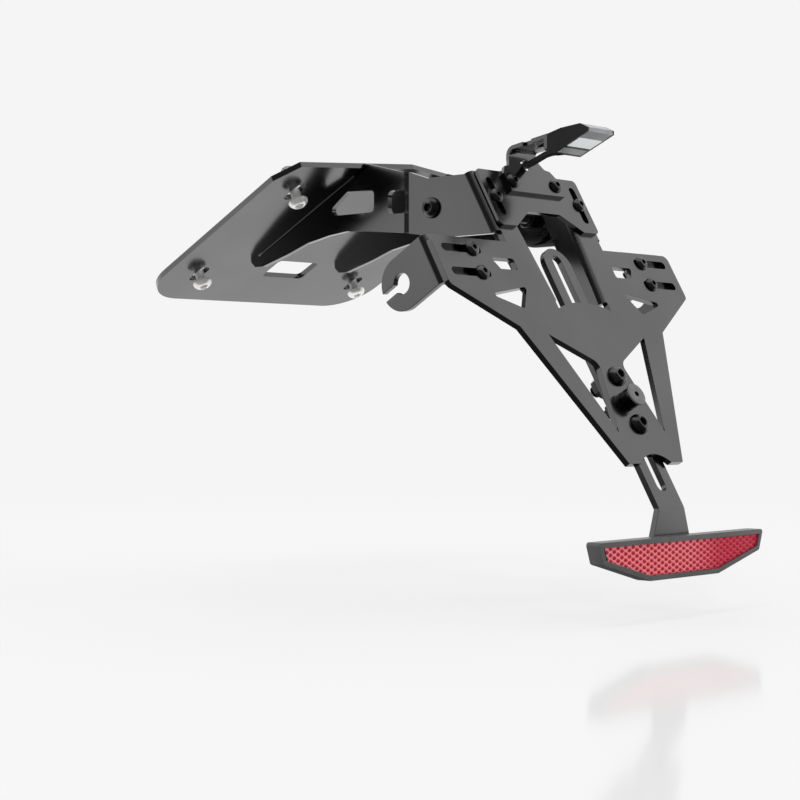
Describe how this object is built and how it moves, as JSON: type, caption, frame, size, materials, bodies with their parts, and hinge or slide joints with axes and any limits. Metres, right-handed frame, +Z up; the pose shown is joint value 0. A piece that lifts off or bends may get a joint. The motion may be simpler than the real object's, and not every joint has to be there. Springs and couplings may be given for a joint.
{
  "type": "tail tidy",
  "caption": "Folding motorbike tail tidy: slotted base plate, tilted number plate holder with indicator ears, plate lamp on an arm and a low reflector on a slotted bar.",
  "frame": {"origin": "middle of the four base bolts, on the upper face of the base plate", "axes": "+Z up, +Y forward along the bike, +X to the bike's right; the base plate drops 27 degrees towards the front and the plate holder leans 30 degrees forward at its top"},
  "size_m": [0.1852, 0.3038, 0.2156],
  "materials": {
    "coated_steel": "satin black coat",
    "stainless": "bright",
    "black_steel": "gloss black",
    "grey_disc": "satin grey",
    "black_plastic": "satin",
    "clear_plastic": "clear",
    "red_prism": "prismatic red",
    "lamp_board": "matt",
    "cable_sheath": "satin"
  },
  "bodies": {
    "root": {"base_bracket": "coated_steel", "plate_holder": "coated_steel", "indicator_ear_left": "coated_steel", "indicator_ear_right": "coated_steel", "reflector_bar": "coated_steel", "lamp_plate": "coated_steel", "lamp_bracket": "coated_steel", "mounting_bolts": "stainless", "ear_screws": "black_steel", "ear_nuts": "black_steel", "tower_screws": "black_steel", "tower_nuts": "black_steel", "lamp_bracket_screws": "black_steel", "lamp_bracket_nuts": "black_steel", "bar_bolts": "black_steel", "bar_washers": "black_steel", "bar_nuts": "black_steel", "pivot_bolts": "black_steel", "pivot_nuts": "black_steel", "tab_screws": "black_steel", "reflector_nut": "black_steel", "stud_spacer": "black_steel", "stud_nut": "black_steel", "stud_screw": "grey_disc", "lamp_housing": "black_plastic", "reflector_tray": "black_plastic", "lamp_glass": "clear_plastic", "reflector_lens": "red_prism", "lamp_board": "lamp_board", "lamp_cable": "cable_sheath"}
  },
  "joints": []
}
